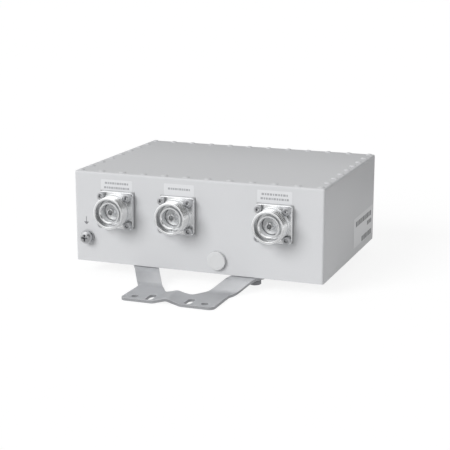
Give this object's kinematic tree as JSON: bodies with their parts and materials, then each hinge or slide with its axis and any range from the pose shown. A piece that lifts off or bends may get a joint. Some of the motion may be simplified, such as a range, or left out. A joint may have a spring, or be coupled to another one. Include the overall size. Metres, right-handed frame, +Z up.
{
  "type": "rf duplexer",
  "caption": "Closed grey cavity-filter box with flanged coaxial sockets on its front, an earth screw and folded mast brackets underneath.",
  "frame": {"origin": "on the ground plane of the bracket feet, under the middle of the box", "axes": "+Z up, the sockets face -Y, +X to the right seen from the sockets' side"},
  "size_m": [0.234, 0.302, 0.097],
  "materials": {
    "paint": "light grey powder coat on aluminium",
    "plating": "white-bronze plated brass, bright",
    "silver": "silver plated, satin",
    "steel": "stainless steel fasteners",
    "bracket_steel": "satin stainless sheet",
    "ptfe": "white PTFE",
    "seal": "silicone rubber",
    "cap": "moulded light grey plastic"
  },
  "bodies": {
    "root": {"housing": "paint", "lid": "paint", "lid_seal": "seal", "tuning_plate": "silver", "resonator_1": "silver", "tuning_screw_1": "steel", "tuning_nut_1": "steel", "resonator_2": "silver", "tuning_screw_2": "steel", "tuning_nut_2": "steel", "resonator_3": "silver", "tuning_screw_3": "steel", "tuning_nut_3": "steel", "resonator_4": "silver", "tuning_screw_4": "steel", "tuning_nut_4": "steel", "low_pass_line": "silver", "antenna_wire": "silver", "common_wire": "silver", "high_band_wire": "silver", "line_post_front": "ptfe", "line_post_back": "ptfe", "low_band_socket": "plating", "low_band_gasket": "seal", "low_band_insulator": "ptfe", "low_band_contact": "silver", "low_band_screw_1": "steel", "low_band_screw_2": "steel", "low_band_screw_3": "steel", "low_band_screw_4": "steel", "antenna_socket": "plating", "antenna_gasket": "seal", "antenna_insulator": "ptfe", "antenna_contact": "silver", "antenna_screw_1": "steel", "antenna_screw_2": "steel", "antenna_screw_3": "steel", "antenna_screw_4": "steel", "high_band_socket": "plating", "high_band_gasket": "seal", "high_band_insulator": "ptfe", "high_band_contact": "silver", "high_band_screw_1": "steel", "high_band_screw_2": "steel", "high_band_screw_3": "steel", "high_band_screw_4": "steel", "earth_screw": "steel", "earth_spring_washer": "steel", "earth_washer": "steel", "vent_plug": "cap", "front_bracket": "bracket_steel", "front_left_bolt": "steel", "front_left_washer": "steel", "front_right_bolt": "steel", "front_right_washer": "steel", "back_bracket": "bracket_steel", "back_left_bolt": "steel", "back_left_washer": "steel", "back_right_bolt": "steel", "back_right_washer": "steel"}
  },
  "joints": []
}
